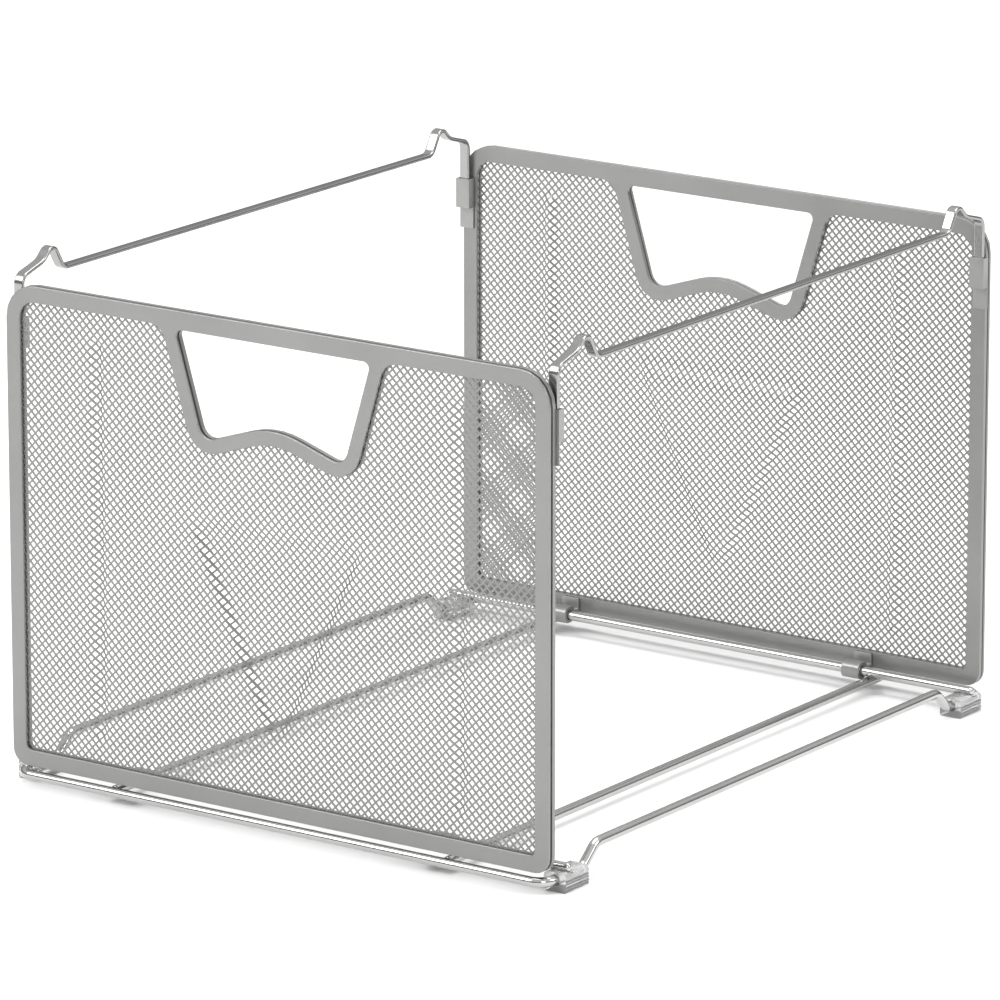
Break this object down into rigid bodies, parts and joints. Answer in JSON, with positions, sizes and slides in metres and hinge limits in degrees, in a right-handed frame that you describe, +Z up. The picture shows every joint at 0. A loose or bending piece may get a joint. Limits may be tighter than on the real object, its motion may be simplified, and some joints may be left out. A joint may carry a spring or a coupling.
{
  "type": "hanging file rack",
  "caption": "Folding wire rack with mesh end panels and two lift-out rails that hold hanging file folders.",
  "frame": {"origin": "on the floor under the middle of the rack", "axes": "+X along the width of the panels (to the right seen from the front), +Y from the front panel to the rear panel, +Z up"},
  "size_m": [0.3174, 0.3808, 0.2571],
  "materials": {
    "frame_steel": "satin silver",
    "mesh_steel": "satin silver expanded mesh",
    "bright_wire": "bright plated wire",
    "foot_plastic": "clear ribbed plastic"
  },
  "bodies": {
    "base": {"base_wire": "bright_wire", "left_inner_rod": "bright_wire", "right_inner_rod": "bright_wire", "front_left_foot": "foot_plastic", "front_right_foot": "foot_plastic", "rear_left_foot": "foot_plastic", "rear_right_foot": "foot_plastic", "front_pivot_rod": "bright_wire", "rear_pivot_rod": "bright_wire"},
    "front_panel": {"front_frame": "frame_steel", "front_mesh": "mesh_steel", "front_backing": "frame_steel", "front_left_hinge_clip": "frame_steel", "front_left_socket": "frame_steel", "front_right_hinge_clip": "frame_steel", "front_right_socket": "frame_steel"},
    "rear_panel": {"rear_frame": "frame_steel", "rear_mesh": "mesh_steel", "rear_backing": "frame_steel", "rear_left_hinge_clip": "frame_steel", "rear_left_socket": "frame_steel", "rear_right_hinge_clip": "frame_steel", "rear_right_socket": "frame_steel"},
    "left_rail": {"left_rail": "bright_wire"},
    "right_rail": {"right_rail": "bright_wire"}
  },
  "joints": [
    {"name": "front_panel_fold", "type": "hinge", "parent": "base", "child": "front_panel", "pos_m": [0, -0.174, 0.0108], "axis": [-1, 0, 0], "range_deg": [0, 89]},
    {"name": "rear_panel_fold", "type": "hinge", "parent": "base", "child": "rear_panel", "pos_m": [0, 0.174, 0.0108], "axis": [1, 0, 0], "range_deg": [0, 85]},
    {"name": "left_rail_lift", "type": "slide", "parent": "base", "child": "left_rail", "axis": [0, 0, 1], "range_m": [0, 0.05]},
    {"name": "right_rail_lift", "type": "slide", "parent": "base", "child": "right_rail", "axis": [0, 0, 1], "range_m": [0, 0.05]}
  ]
}
